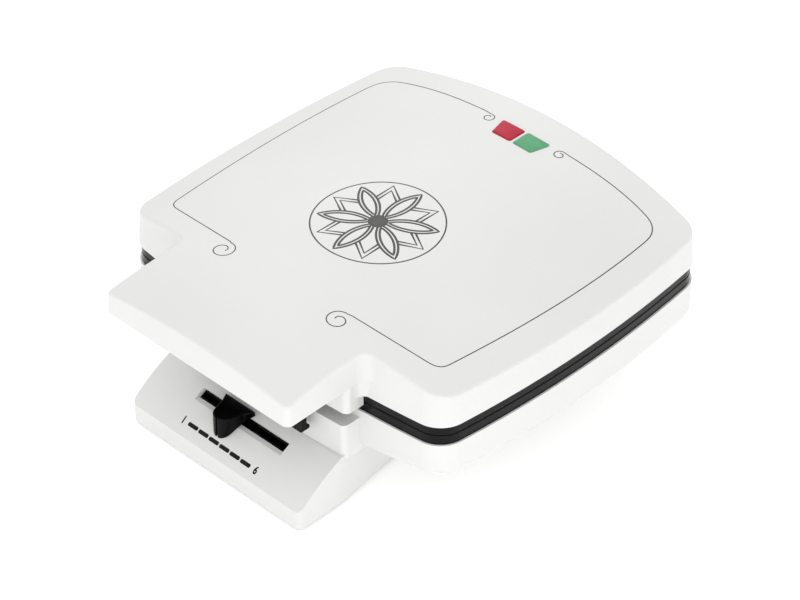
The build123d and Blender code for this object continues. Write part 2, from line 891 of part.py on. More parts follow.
with BuildPart() as lower_plate_screws:
    with BuildSketch(Plane.XY.offset(shield_bottom)):
        with Locations(boss_places):
            Circle(plate_screw_head / 2)
    extrude(amount=-plate_screw_head_height)
    with BuildSketch(Plane.XY.offset(shield_bottom)):
        with Locations(boss_places):
            Circle(plate_screw_diameter / 2)
    extrude(amount=plate_screw_length)
save(lower_plate_screws.part, "lower_plate_screws")
save(over_parting(lower_plate_screws.part), "upper_plate_screws")

# Side profile of the console: an arc that rises from its front edge to the block
console_front = block_front - console_reach
plinth_rear = body_rear - plinth_rear_margin
cover_top = foot_height + cover_thickness
chord = sqrt(console_reach**2 + (console_rear_height - console_front_height) ** 2)
ramp_radius = chord**2 / (8 * console_arc_rise) + console_arc_rise / 2
chord_y = (console_front + block_front) / 2
chord_z = (console_front_height + console_rear_height) / 2
across = (ramp_radius - console_arc_rise) / chord
centre_y = chord_y + across * (console_rear_height - console_front_height)
centre_z = chord_z - across * (block_front - console_front)


def ramp_profile(rise=0.0, top=console_rear_height):
    """The console from the side, with its arc moved outwards by rise."""
    radius = ramp_radius + rise
    middle_y = (console_front + block_front) / 2
    arc = [
        (y, centre_z + sqrt(radius**2 - (y - centre_y) ** 2))
        for y in (console_front, middle_y, block_front)
    ]
    with BuildSketch(mode=Mode.PRIVATE) as profile:
        with BuildLine():
            ThreePointArc(*arc)
            Polyline(
                arc[2],
                (block_front, top + rise),
                (plinth_rear, top + rise),
                (plinth_rear, foot_height),
                (console_front, foot_height),
                arc[0],
            )
        make_face()
    return profile.sketch


def console_plan(inset=0.0):
    """The console and plinth seen from above, narrowing to the rear."""
    half = console_width / 2 - inset
    with BuildSketch(mode=Mode.PRIVATE) as plan:
        with BuildLine():
            Polyline(
                (-half, console_front + inset),
                (half, console_front + inset),
                (half - console_rear_taper, block_front),
                (console_neck_width / 2 - inset, block_front + console_neck_reach),
                (console_rear_width / 2 - inset, plinth_rear - inset),
                (-console_rear_width / 2 + inset, plinth_rear - inset),
                (-console_neck_width / 2 + inset, block_front + console_neck_reach),
                (-half + console_rear_taper, block_front),
                close=True,
            )
        make_face()
        fillet(plan.vertices().group_by(Axis.Y)[0], console_corner - min(inset, 3))
        fillet(plan.vertices().group_by(Axis.Y)[-1], console_corner - min(inset, 3))
    return plan.sketch


base_half = console_width / 2
base_bow = nose_bow(base_half)
block_floor = console_rear_height - wall - run_clearance
with BuildPart() as console_prism:
    with BuildSketch(Plane.XY.offset(foot_height)):
        add(console_plan())
    extrude(amount=overall_height)
with BuildPart() as console_core:
    with BuildSketch(Plane.XY.offset(foot_height)):
        add(console_plan(console_wall))
    extrude(amount=overall_height)
with BuildPart() as console_outer:
    with BuildSketch(Plane.YZ):
        add(ramp_profile())
    extrude(amount=far / 2, both=True)
    add(console_prism.part, mode=Mode.INTERSECT)
with BuildPart() as console_inner:
    with BuildSketch(Plane.YZ):
        add(ramp_profile(-wall))
    extrude(amount=far / 2, both=True)
    add(console_core.part, mode=Mode.INTERSECT)

with BuildPart() as belly_shell:
    with BuildSketch(Plane.XY.offset(belly_height - 6)):
        add(body_outline())
    extrude(amount=lower_rim_bottom - belly_height + 6)
    add(belly_block(), mode=Mode.INTERSECT)
    belly_face = belly_shell.faces().sort_by(Axis.Z)[0]
    fillet(belly_face.edges(), belly_edge_fillet)

with BuildPart() as base_cavity:
    with BuildSketch(Plane.XY.offset(belly_height - 6)):
        add(body_outline(wall))
    extrude(amount=lower_rim_bottom - belly_height + 7)
    add(belly_block(wall), mode=Mode.INTERSECT)
    with BuildSketch(Plane.XY.offset(block_floor)):
        add(
            nose_outline(
                block_reach, base_half, base_half, body_middle, console_corner, wall, base_bow
            )
        )
    extrude(amount=block_top - wall - block_floor)
    add(console_inner.part)

# Frame of the slot: its plane lies on the ramp and its y axis runs up the slope
slot_y = block_front - slot_setback
slot_z = centre_z + sqrt(ramp_radius**2 - (slot_y - centre_y) ** 2)
ramp_slope = atan2(centre_y - slot_y, slot_z - centre_z)
slot_normal = (0, -sin(ramp_slope), cos(ramp_slope))
slot_plane = Plane(origin=(slot_centre_x, slot_y, slot_z), x_dir=(1, 0, 0), z_dir=slot_normal)
guide_depth = wall + 0.5
guide_thickness = 1.6
guide_slot = neck_thickness + run_clearance

cover_screw_front = [
    (side * cover_screw_front_pitch / 2, console_front + cover_screw_inset) for side in (-1, 1)
]
cover_screw_rear = [
    (side * cover_screw_rear_pitch / 2, plinth_rear - cover_screw_inset) for side in (-1, 1)
]
cover_screw_places = cover_screw_front + cover_screw_rear
foot_places = [
    (side * front_foot_pitch / 2, console_front + front_foot_inset) for side in (-1, 1)
] + [(side * rear_foot_pitch / 2, plinth_rear - rear_foot_inset) for side in (-1, 1)]

with BuildPart() as boss_limit:
    with BuildSketch(Plane.YZ):
        add(ramp_profile(-wall / 2))
    extrude(amount=far / 2, both=True)
with BuildPart() as cover_bosses:
    with BuildSketch(Plane.XY.offset(cover_top)):
        with Locations(cover_screw_places):
            Circle(cover_boss_diameter / 2)
    extrude(amount=cover_boss_height)
    add(boss_limit.part, mode=Mode.INTERSECT)

with BuildPart() as base_posts:
    with BuildSketch(Plane.XY.offset(belly_height)):
        with Locations(post_places):
            Circle(boss_diameter / 2)
    extrude(amount=shield_bottom - belly_height)
    with BuildSketch(Plane.XY.offset(belly_height)):
        with Locations(rim_screw_places):
            Circle(screw_boss_diameter / 2)
    extrude(amount=lower_rim_bottom - belly_height)
    add(belly_block(wall / 2), mode=Mode.INTERSECT)

with BuildPart() as lower_housing:
    add(belly_shell.part)
    with BuildSketch(Plane.XY.offset(block_floor)):
        add(
            nose_outline(
                block_reach, base_half, base_half, body_middle, console_corner, bow=base_bow
            )
        )
    extrude(amount=block_top - block_floor)
    add(console_outer.part)
    add(base_cavity.part, mode=Mode.SUBTRACT)
    add(base_posts.part)
    add(cover_bosses.part)
    # Pads that carry the slot guide, the slot and the bevel around it
    with BuildSketch(slot_plane.offset(-guide_depth)):
        with Locations((-slot_length / 2 - 5, 0), (slot_length / 2 + 5, 0)):
            Rectangle(6, 14)
    extrude(amount=1.5)
    with BuildSketch(slot_plane.offset(-wall - 1)):
        Rectangle(slot_length, slot_width)
    extrude(amount=wall + 3, mode=Mode.SUBTRACT)
    with BuildSketch(slot_plane.offset(-slot_bevel_depth)):
        Rectangle(slot_length, slot_width)
    with BuildSketch(slot_plane.offset(slot_bevel_depth)):
        Rectangle(slot_length + 4 * slot_end_bevel, slot_width + 4 * slot_bevel)
    loft(mode=Mode.SUBTRACT)
    # Catch rib for the latch
    with BuildSketch(Plane.XY.offset(catch_level)):
        with Locations((0, block_front + 0.4)):
            Rectangle(catch_width, 2 * catch_reach + 0.8)
    extrude(amount=catch_height)
    # Ears of the hinge
    for ear_start in (barrel_half + run_clearance, -barrel_half - run_clearance - ear_width):
        with BuildSketch(Plane.YZ.offset(ear_start)):
            with BuildLine():
                Polyline(
                    (hinge_y - knuckle_radius, parting_height),
                    (hinge_y + knuckle_radius, parting_height),
                    (hinge_y + knuckle_radius / 3, parting_height - 2 * knuckle_radius),
                    (body_rear - wall, parting_height - ear_drop),
                    (body_rear - wall, lower_rim_bottom - ear_rim_gap),
                    (hinge_y - knuckle_radius, lower_rim_bottom - ear_rim_gap),
                    close=True,
                )
            make_face()
            with Locations((hinge_y, parting_height)):
                Circle(knuckle_radius)
                Circle(hinge_pin_diameter / 2, mode=Mode.SUBTRACT)
        extrude(amount=ear_width)
    with BuildSketch(Plane.XY.offset(lower_rim_bottom)):
        with Locations(rim_screw_places):
            Circle(small_screw_diameter / 2)
    extrude(amount=-pilot_depth, mode=Mode.SUBTRACT)
    with BuildSketch(Plane.XY.offset(cover_top)):
        with Locations(cover_screw_places):
            Circle(small_screw_diameter / 2)
    extrude(amount=cover_pilot_depth, mode=Mode.SUBTRACT)
    with BuildSketch(Plane.XZ.offset(-plinth_rear + 4)):
        with Locations((0, gland_level)):
            Circle(gland_diameter / 2)
    extrude(amount=-8, mode=Mode.SUBTRACT)
save(lower_housing.part, "lower_housing")

with BuildPart() as hinge_pins:
    pin_length = barrel_half + run_clearance + ear_width - pin_start_x - 1
    for pin_end in (pin_start_x + 1, -pin_start_x - 1 - pin_length):
        with BuildSketch(Plane.YZ.offset(pin_end)):
            with Locations((hinge_y, parting_height)):
                Circle(hinge_pin_diameter / 2)
        extrude(amount=pin_length)
save(hinge_pins.part, "hinge_pins")

# Bottom cover, its screws and the feet
vent_rows = (plinth_rear - vent_front_setback, plinth_rear - vent_rear_setback)
vent_places = [(step * vent_pitch, y) for step in range(-3, 4) for y in vent_rows]
pinion_y = body_front + pinion_setback
with BuildPart() as bottom_cover:
    with BuildSketch(Plane.XY.offset(foot_height)):
        add(console_plan(console_wall + seat_gap))
        with Locations(vent_places):
            SlotOverall(vent_length, vent_width, rotation=90, mode=Mode.SUBTRACT)
        with Locations(foot_places):
            Circle(foot_stem_diameter / 2, mode=Mode.SUBTRACT)
        with Locations(cover_screw_places):
            Circle(small_screw_diameter / 2 + screw_gap, mode=Mode.SUBTRACT)
    extrude(amount=cover_thickness)
    with BuildSketch(Plane.XY.offset(foot_height)):
        with Locations(cover_screw_places):
            Circle(small_screw_head / 2 + head_gap)
    extrude(amount=cover_screw_sink, mode=Mode.SUBTRACT)
    with BuildSketch(Plane.XY.offset(cover_top)):
        with Locations((slot_centre_x, pinion_y)):
            Circle(spindle_diameter)
    extrude(amount=spindle_seat_height)
    with BuildSketch(Plane.XY.offset(cover_top + 1)):
        with Locations((slot_centre_x, pinion_y)):
            Circle(spindle_diameter / 2 + fit_clearance)
    extrude(amount=spindle_seat_height, mode=Mode.SUBTRACT)
save(bottom_cover.part, "bottom_cover")

with BuildPart() as cover_screws:
    with BuildSketch(Plane.XY.offset(foot_height + cover_screw_sink)):
        with Locations(cover_screw_places):
            Circle(small_screw_head / 2)
    extrude(amount=-cover_screw_head_height)
    with BuildSketch(Plane.XY.offset(foot_height + cover_screw_sink)):
        with Locations(cover_screw_places):
            Circle(small_screw_diameter / 2)
    extrude(amount=small_screw_length)
save(cover_screws.part, "cover_screws")

with BuildPart() as rubber_feet:
    with BuildSketch():
        with Locations(foot_places):
            Circle(foot_diameter / 2)
    extrude(amount=foot_height)
    with BuildSketch(Plane.XY.offset(foot_height)):
        with Locations(foot_places):
            Circle(foot_stem_diameter / 2)
    extrude(amount=cover_thickness)
    with BuildSketch(Plane.XY.offset(cover_top)):
        with Locations(foot_places):
            Circle(foot_button_diameter / 2)
    extrude(amount=foot_button_height)
save(rubber_feet.part, "rubber_feet")

# Slot guide: a black plate under the ramp whose narrow slot leads the neck of the knob
with BuildPart() as slot_guide:
    with BuildSketch(slot_plane.offset(-guide_depth)):
        Rectangle(slot_length + 18, 16)
        Rectangle(slot_length, guide_slot, mode=Mode.SUBTRACT)
    extrude(amount=-guide_thickness)
save(slot_guide.part, "slot_guide")

# Knob of the regulator, seen from above a shield that narrows towards the scale
knob_back = slot_y + knob_overhang
knob_tip = knob_back - knob_length
knob_side = [
    (knob_tip_width / 2, knob_tip + knob_tip_arc),
    (knob_waist_width / 2, knob_back - knob_waist_setback),
    (knob_width / 2, knob_back),
]
knob_right = [(knob_x + x, y) for x, y in knob_side]
knob_left = [(knob_x - x, y) for x, y in knob_side]
with BuildPart() as ramp_space:
    with BuildSketch(Plane.YZ):
        add(ramp_profile(knob_lift, console_front_height))
    extrude(amount=far / 2, both=True)
with BuildPart() as regulator_knob:
    with BuildSketch(Plane.XY.offset(console_front_height)):
        with BuildLine():
            Polyline(*knob_left, *reversed(knob_right))
            ThreePointArc(knob_right[0], (knob_x, knob_tip), knob_left[0])
        make_face()
    extrude(amount=knob_top - console_front_height)
    fillet(regulator_knob.edges().group_by(Axis.Z)[-1], knob_edge_fillet)
    add(ramp_space.part, mode=Mode.SUBTRACT)
    with BuildSketch(slot_plane):
        with Locations((knob_x - slot_centre_x, 0)):
            Rectangle(neck_length + 2 * fit_clearance, neck_thickness + 2 * fit_clearance)
    extrude(amount=4, mode=Mode.SUBTRACT)
    with BuildSketch(Plane.XY.offset(console_front_height)):
        with Locations((knob_x, knob_tip)):
            Rectangle(pointer_width, pointer_length)
    extrude(amount=knob_top, mode=Mode.SUBTRACT)
save(regulator_knob.part, "regulator_knob")

# Carriage: neck through the slot, foot under the guide, arm and toothed bar
rack_pitch_y = pinion_y - gear_module * pinion_teeth / 2
tooth_pitch = pi * gear_module
rack_root_y = rack_pitch_y - tooth_dedendum * gear_module
rack_tip_y = rack_pitch_y + tooth_addendum * gear_module
rack_half = (knob_travel_left + knob_travel_right) / 2 + rack_overrun
bar_bottom = pinion_level - rack_foot
tooth_half = tooth_pitch / 4 - tooth_backlash / 4
flank = tan(radians(pressure_angle))
root_half_tooth = tooth_half + tooth_dedendum * gear_module * flank
tip_half_tooth = tooth_half - tooth_addendum * gear_module * flank
carriage_top = -guide_depth - guide_thickness - rail_gap
with BuildPart() as regulator_carriage:
    with BuildSketch(slot_plane.offset(carriage_top)):
        with Locations((knob_x - slot_centre_x, 0)):
            Rectangle(neck_length, neck_thickness)
    extrude(amount=neck_rise - carriage_top)
    with BuildSketch(slot_plane.offset(carriage_top)):
        with Locations((knob_x - slot_centre_x, 0)):
            RectangleRounded(shoe_length, shoe_width, shoe_thickness)
    extrude(amount=-shoe_thickness)
    with BuildSketch(Plane.YZ.offset(knob_x - arm_width / 2)):
        with BuildLine():
            Polyline(
                (slot_y - arm_front, slot_z - arm_front_drop),
                (slot_y + arm_top_reach, slot_z - arm_top_drop),
                (slot_y + arm_elbow_reach, pinion_level + pinion_height + 1),
                (rack_root_y - rack_bar / 2, pinion_level + pinion_height),
                (rack_root_y - rack_bar / 2, pinion_level + arm_foot_rise),
                (slot_y + arm_elbow_foot, pinion_level + arm_foot_rise),
                (slot_y - arm_front, slot_z - arm_lower_drop),
                close=True,
            )
        make_face()
    extrude(amount=arm_width)
    with BuildSketch(Plane.XY.offset(bar_bottom)):
        with Locations((knob_x, rack_root_y - rack_bar / 2)):
            Rectangle(2 * rack_half, rack_bar)
    extrude(amount=pinion_height + rack_foot)
    with BuildSketch(Plane.XY.offset(pinion_level)):
        for step in range(tooth_row_start, tooth_row_start + tooth_row):
            tooth_x = slot_centre_x + (step + 0.5) * tooth_pitch
            with BuildLine():
                Polyline(
                    (tooth_x - root_half_tooth, rack_root_y - 0.5),
                    (tooth_x - root_half_tooth, rack_root_y),
                    (tooth_x - tip_half_tooth, rack_tip_y),
                    (tooth_x + tip_half_tooth, rack_tip_y),
                    (tooth_x + root_half_tooth, rack_root_y),
                    (tooth_x + root_half_tooth, rack_root_y - 0.5),
                    close=True,
                )
            make_face()
    extrude(amount=pinion_height)
save(regulator_carriage.part, "regulator_carriage")

rail_top = pinion_level - rail_gap
channel_bottom = bar_bottom - rail_gap
channel_front = rack_root_y - rack_bar - rail_gap
channel_rear = rack_root_y + rail_gap
with BuildPart() as slider_rail:
    with BuildSketch(Plane.YZ):
        with BuildLine():
            Polyline(
                (channel_front - rail_wall, cover_top),
                (channel_rear + rail_lip, cover_top),
                (channel_rear + rail_lip, rail_top),
                (channel_rear, rail_top),
                (channel_rear, channel_bottom),
                (channel_front, channel_bottom),
                (channel_front, rail_top),
                (channel_front - rail_wall, rail_top),
                close=True,
            )
        make_face()
    extrude(amount=rail_half_length, both=True)
save(slider_rail.part, "slider_rail")


def involute_angle(radius, base_radius):
    """Polar angle of an involute at a radius, counted from where it leaves its base circle."""
    pressure = acos(min(1.0, base_radius / radius))
    return tan(pressure) - pressure


pinion_radius = gear_module * pinion_teeth / 2
pinion_base = pinion_radius * cos(radians(pressure_angle))
pinion_tip = pinion_radius + tooth_addendum * gear_module
pinion_root = pinion_radius - tooth_dedendum * gear_module
half_angle = tooth_half / pinion_radius + involute_angle(pinion_radius, pinion_base)
tip_step = (pinion_tip - pinion_base) / 4
flank_radii = [pinion_root] + [pinion_base + tip_step * k for k in range(5)]
tooth_outline = []
for tooth in range(pinion_teeth):
    middle = -pi / 2 + tooth * 2 * pi / pinion_teeth
    for radius in flank_radii:
        angle = middle - half_angle + involute_angle(max(radius, pinion_base), pinion_base)
        tooth_outline.append(
            (slot_centre_x + radius * cos(angle), pinion_y + radius * sin(angle))
        )
    for radius in reversed(flank_radii):
        angle = middle + half_angle - involute_angle(max(radius, pinion_base), pinion_base)
        tooth_outline.append(
            (slot_centre_x + radius * cos(angle), pinion_y + radius * sin(angle))
        )

with BuildPart() as thermostat_spindle:
    with BuildSketch(Plane.XY.offset(pinion_level)):
        with BuildLine():
            Polyline(*tooth_outline, close=True)
        make_face()
    extrude(amount=pinion_height)
    with BuildSketch(Plane.XY.offset(cover_top + 1.2)):
        with Locations((slot_centre_x, pinion_y)):
            Circle(spindle_diameter / 2)
    extrude(amount=thermostat_floor + 4 - cover_top - 1.2)
save(thermostat_spindle.part, "thermostat_spindle")

# Thermostat on its bracket over the pinion
bracket_half = bracket_width / 2
bracket_side = [
    (bracket_half - bracket_sheet, thermostat_floor - bracket_sheet),
    (bracket_half - bracket_sheet, cover_top),
    (bracket_half + bracket_foot, cover_top),
    (bracket_half + bracket_foot, cover_top + bracket_sheet),
    (bracket_half, cover_top + bracket_sheet),
    (bracket_half, thermostat_floor),
]
bracket_left = [(slot_centre_x - x, z) for x, z in bracket_side]
bracket_right = [(slot_centre_x + x, z) for x, z in bracket_side]
with BuildPart() as thermostat_bracket:
    with BuildSketch(Plane.XZ.offset(-pinion_y)):
        with BuildLine():
            Polyline(*bracket_left, *reversed(bracket_right), close=True)
        make_face()
    extrude(amount=bracket_depth / 2, both=True)
    with BuildSketch(Plane.XY.offset(thermostat_floor - 2)):
        with Locations((slot_centre_x, pinion_y)):
            Circle(0.75 * spindle_diameter)
    extrude(amount=4, mode=Mode.SUBTRACT)
save(thermostat_bracket.part, "thermostat_bracket")

with BuildPart() as thermostat_body:
    with BuildSketch(Plane.XY.offset(thermostat_floor)):
        with Locations((slot_centre_x, pinion_y)):
            Circle(thermostat_diameter / 2)
    extrude(amount=thermostat_height)
    with BuildSketch(Plane.XY.offset(thermostat_floor)):
        with Locations((slot_centre_x, pinion_y)):
            Circle(spindle_diameter / 2 + fit_clearance)
    extrude(amount=5, mode=Mode.SUBTRACT)
    with BuildSketch(Plane.XY.offset(thermostat_floor + tab_level)):
        for side in (-1, 1):
            with Locations((slot_centre_x + side * tab_pitch / 2, pinion_y + thermostat_diameter / 2)):
                Rectangle(tab_width, tab_length)
    extrude(amount=tab_thickness)
save(thermostat_body.part, "thermostat_body")

# Electrical parts in the base
terminal_y = plinth_rear - terminal_setback
terminal_top = cover_top + terminal_height
with BuildPart() as terminal_block:
    with BuildSketch(Plane.XY.offset(cover_top)):
        with Locations((0, terminal_y)):
            RectangleRounded(terminal_width, terminal_depth, 1.5)
    extrude(amount=terminal_height)
    with BuildSketch(Plane.XY.offset(terminal_top)):
        with Locations([(step * terminal_pitch, terminal_y) for step in (-1, 0, 1)]):
            Circle(terminal_bore / 2)
    extrude(amount=-6, mode=Mode.SUBTRACT)
    with BuildSketch(Plane.XY.offset(terminal_top)):
        with Locations([(side * terminal_pitch / 2, terminal_y) for side in (-1, 1)]):
            Rectangle(1.2, terminal_depth)
    extrude(amount=2)
save(terminal_block.part, "terminal_block")

with BuildPart() as cable_gland:
    with BuildSketch(Plane.XZ.offset(-plinth_rear)):
        with Locations((0, gland_level)):
            Circle(gland_diameter / 2 + 2)
    extrude(amount=-gland_flange)
    with BuildSketch(Plane.XZ.offset(-plinth_rear)):
        with Locations((0, gland_level)):
            Circle(gland_diameter / 2)
    extrude(amount=gland_reach)
    with BuildSketch(Plane.XZ.offset(-plinth_rear + gland_reach)):
        with Locations((0, gland_level)):
            Circle(gland_bore / 2)
    extrude(amount=-2 * gland_reach, mode=Mode.SUBTRACT)
save(cable_gland.part, "cable_gland")

clamp_outer = clamp_width / 2
clamp_inner = clamp_outer - clamp_arm
with BuildPart() as cord_clamp:
    with BuildSketch(Plane.XZ.offset(-(plinth_rear - clamp_setback))):
        with BuildLine():
            Polyline(
                (-clamp_outer, cover_top),
                (-clamp_inner, cover_top),
                (-clamp_inner, gland_level),
                (clamp_inner, gland_level),
                (clamp_inner, cover_top),
                (clamp_outer, cover_top),
                (clamp_outer, gland_level + clamp_cover),
                (-clamp_outer, gland_level + clamp_cover),
                close=True,
            )
        make_face()
    extrude(amount=clamp_depth)
save(cord_clamp.part, "cord_clamp")

fuse_z = shield_bottom - fuse_diameter / 2
with BuildPart() as thermal_fuse:
    with BuildSketch(Plane.YZ.offset(fuse_x)):
        with Locations((body_middle, fuse_z)):
            Circle(fuse_diameter / 2)
    extrude(amount=fuse_length)
    with BuildSketch(Plane.YZ.offset(fuse_x + fuse_clip_offset)):
        with Locations((body_middle, fuse_z)):
            Rectangle(fuse_clip_width, fuse_diameter)
    extrude(amount=fuse_clip_length)
save(thermal_fuse.part, "thermal_fuse")


def lead(*points, bend=3.0):
    """A round lead swept along a path with rounded bends."""
    with BuildPart(mode=Mode.PRIVATE) as wire:
        with BuildLine() as path:
            FilletPolyline(*points, radius=bend)
        start = path.line @ 0
        ahead = path.line % 0
        with BuildSketch(Plane(origin=start, z_dir=ahead)):
            Circle(lead_diameter / 2)
        sweep()
    return wire.part


bundle_y = pinion_y + 29
tab_end_y = pinion_y + thermostat_diameter / 2 + tab_length / 2
tab_z = thermostat_floor + tab_level + tab_thickness / 2
with BuildPart() as base_leads:
    add(
        lead(
            (-terminal_pitch, terminal_y, terminal_top - 5),
            (-terminal_pitch, terminal_y, terminal_top + 8),
            (-half_t, tail_end + 7, terminal_top + 20),
            (-half_t, tail_end + 7, element_z),
            (-half_t, tail_end, element_z),
        )
    )
    add(
        lead(
            (terminal_pitch, terminal_y, terminal_top - 5),
            (terminal_pitch, terminal_y, terminal_top + 6),
            (terminal_pitch, bundle_y + 15, terminal_top + 6),
            (slot_centre_x + tab_pitch / 2, bundle_y, tab_z),
            (slot_centre_x + tab_pitch / 2, tab_end_y, tab_z),
        )
    )
    add(
        lead(
            (slot_centre_x - tab_pitch / 2, tab_end_y, tab_z),
            (slot_centre_x - tab_pitch / 2, bundle_y + 5, tab_z),
            (fuse_x / 2, body_middle, fuse_z),
            (fuse_x, body_middle, fuse_z),
        )
    )
save(base_leads.part, "base_leads")

upper_element_z = 2 * parting_height - element_z
lid_lead_z = (upper_element_z + holder_level) / 2
lid_lead_x = 12.0
with BuildPart() as lid_leads:
    for side in (-1, 1):
        add(
            lead(
                (side * half_t, tail_end, upper_element_z),
                (side * half_t, tail_end + 6, upper_element_z),
                (side * half_t, tail_end + 6, lid_lead_z),
                (side * lid_lead_x, lamp_y, lid_lead_z),
                (side * lid_lead_x, lamp_y, holder_level),
                bend=2.0,
            )
        )
save(lid_leads.part, "lid_leads")
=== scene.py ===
import math

import bpy
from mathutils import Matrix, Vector


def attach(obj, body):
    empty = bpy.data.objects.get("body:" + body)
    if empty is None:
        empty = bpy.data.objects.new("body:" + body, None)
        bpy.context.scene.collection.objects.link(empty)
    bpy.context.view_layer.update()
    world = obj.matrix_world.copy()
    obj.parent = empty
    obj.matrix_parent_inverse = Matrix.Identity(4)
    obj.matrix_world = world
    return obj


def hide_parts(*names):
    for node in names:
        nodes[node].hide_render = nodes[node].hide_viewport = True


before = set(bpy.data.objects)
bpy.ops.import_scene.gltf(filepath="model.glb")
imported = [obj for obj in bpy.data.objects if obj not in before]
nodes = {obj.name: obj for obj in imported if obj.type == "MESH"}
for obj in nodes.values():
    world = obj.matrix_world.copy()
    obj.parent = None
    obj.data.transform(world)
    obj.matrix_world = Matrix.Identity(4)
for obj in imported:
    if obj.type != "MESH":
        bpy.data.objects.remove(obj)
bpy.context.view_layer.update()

# The lid's top: a barrel across X that droops over the handle, in millimetres
LID_TOP = 114.3
BARREL_RADIUS = 570.0
DROOP_RADIUS = 321.0
BODY_FRONT = -102.55
# The ramp of the console: an arc seen from the side
RAMP_FRONT = (-150.25, 14.2)
RAMP_REAR = (-115.55, 36.0)
RAMP_RISE = 1.8


def lid_height(x, y):
    """Height of the lid's top over a point, in millimetres."""
    sag = BARREL_RADIUS - math.sqrt(BARREL_RADIUS**2 - x**2)
    if y >= BODY_FRONT:
        return LID_TOP - sag
    reach = DROOP_RADIUS - sag
    return LID_TOP - DROOP_RADIUS + math.sqrt(reach**2 - (y - BODY_FRONT) ** 2)


def ramp_height(x, y):
    """Height of the console's ramp over a point, in millimetres."""
    (y0, z0), (y1, z1) = RAMP_FRONT, RAMP_REAR
    chord = math.hypot(y1 - y0, z1 - z0)
    radius = chord**2 / (8 * RAMP_RISE) + RAMP_RISE / 2
    lean = (radius - RAMP_RISE) / chord
    centre_y = (y0 + y1) / 2 + lean * (z1 - z0)
    centre_z = (z0 + z1) / 2 - lean * (y1 - y0)
    return centre_z + math.sqrt(radius**2 - (y - centre_y) ** 2)


def clear_selection():
    """Leave edit mode and deselect everything."""
    if bpy.context.object and bpy.context.object.mode != "OBJECT":
        bpy.ops.object.mode_set(mode="OBJECT")
    bpy.ops.object.select_all(action="DESELECT")


def linear(hex_colour):
    """An sRGB hex value as linear RGBA."""
    channels = []
    for start in (1, 3, 5):
        value = int(hex_colour[start : start + 2], 16) / 255
        channels.append(value / 12.92 if value <= 0.04045 else ((value + 0.055) / 1.055) ** 2.4)
    return (*channels, 1.0)


def add_node(material, kind, settings=None, **inputs):
    """Add one node, set its fields and its sockets, and link what comes from other nodes."""
    node = material.node_tree.nodes.new(kind)
    for key, value in (settings or {}).items():
        setattr(node, key, value)
    for key, value in inputs.items():
        socket = node.inputs[key.replace("_", " ")]
        if isinstance(value, bpy.types.NodeSocket):
            material.node_tree.links.new(value, socket)
        else:
            socket.default_value = value
    return node


def new_material(name):
    """An empty material with nodes, and the Object coordinates of the piece it is on."""
    material = bpy.data.materials.new(name)
    material.use_nodes = True
    material.node_tree.nodes.clear()
    place = add_node(material, "ShaderNodeTexCoord").outputs["Object"]
    return material, place


def close_material(material, shader):
    """Join a shader to the material's output."""
    add_node(material, "ShaderNodeOutputMaterial", Surface=shader.outputs["BSDF"])
    return material


def ramped(material, factor, low, high, start=0.35, end=0.65):
    """A colour that runs from low to high as the factor rises."""
    ramp = add_node(material, "ShaderNodeValToRGB", Fac=factor)
    ramp.color_ramp.elements[0].position = start
    ramp.color_ramp.elements[1].position = end
    ramp.color_ramp.elements[0].color = low
    ramp.color_ramp.elements[1].color = high
    return ramp.outputs["Color"]


def ranged(material, factor, low, high):
    """A number that runs from low to high as the factor rises."""
    spread = add_node(material, "ShaderNodeMapRange", Value=factor, To_Min=low, To_Max=high)
    return spread.outputs["Result"]


def moulded_plastic(name, light, dark, rough, grain, depth, specular=0.5):
    """Injection moulded plastic: fine grain of the mould, and a slow drift of tone and gloss.

    The grain and its depth are in millimetres; the tone drifts over about 110 mm.
    """
    material, place = new_material(name)
    drift = add_node(material, "ShaderNodeTexNoise", Vector=place, Scale=9.0, Detail=2.0)
    fine = add_node(material, "ShaderNodeTexNoise", Vector=place, Scale=1000 / grain, Detail=3.0)
    bump = add_node(
        material,
        "ShaderNodeBump",
        Height=fine.outputs["Fac"],
        Strength=0.35,
        Distance=depth / 1000,
    )
    shader = add_node(
        material,
        "ShaderNodeBsdfPrincipled",
        Base_Color=ramped(material, drift.outputs["Fac"], linear(dark), linear(light)),
        Roughness=ranged(material, fine.outputs["Fac"], rough - 0.05, rough + 0.05),
        Normal=bump.outputs["Normal"],
        IOR=1.5,
        Specular_IOR_Level=specular,
    )
    return close_material(material, shader)


# ABS with a satin sheen: the shell looks soft white with broad, blurred highlights
white_abs = moulded_plastic("satin_white_abs", "#DFDFDD", "#DCDCDA", 0.38, 0.7, 0.02)
# Polished ABS: the rims look deep black, with a soft sheen along their edges
black_abs = moulded_plastic("polished_black_abs", "#08080A", "#060607", 0.13, 0.5, 0.006, 0.16)
# Finely eroded ABS: knob, latch and guide look deep black with a faint sheen at their edges
matt_black_abs = moulded_plastic("eroded_black_abs", "#060606", "#040404", 0.24, 0.35, 0.02, 0.1)
# Nylon: the slider parts inside look waxy and off-white
nylon = moulded_plastic("natural_nylon", "#E0DBCB", "#D6D0BE", 0.5, 0.9, 0.02)
# Synthetic rubber: the feet look dull and powdery
rubber = moulded_plastic("black_rubber", "#1B1B1B", "#121212", 0.78, 0.4, 0.05)
# Steatite: fired ceramic, dry and slightly speckled
steatite = moulded_plastic("fired_steatite", "#E4DDCB", "#D2C9B4", 0.62, 0.5, 0.04)
# Extruded silicone: the sleeves of the leads look soft, dull and cream
silicone = moulded_plastic("silicone_sleeve", "#D9D3C4", "#CBC4B2", 0.55, 0.4, 0.02)
# Screen print ink: a thin satin film, darker than the shell
ink = moulded_plastic("grey_print_ink", "#484848", "#404040", 0.34, 0.25, 0.004, 0.3)
black_ink = moulded_plastic("black_print_ink", "#0A0A0A", "#070707", 0.36, 0.25, 0.004, 0.2)


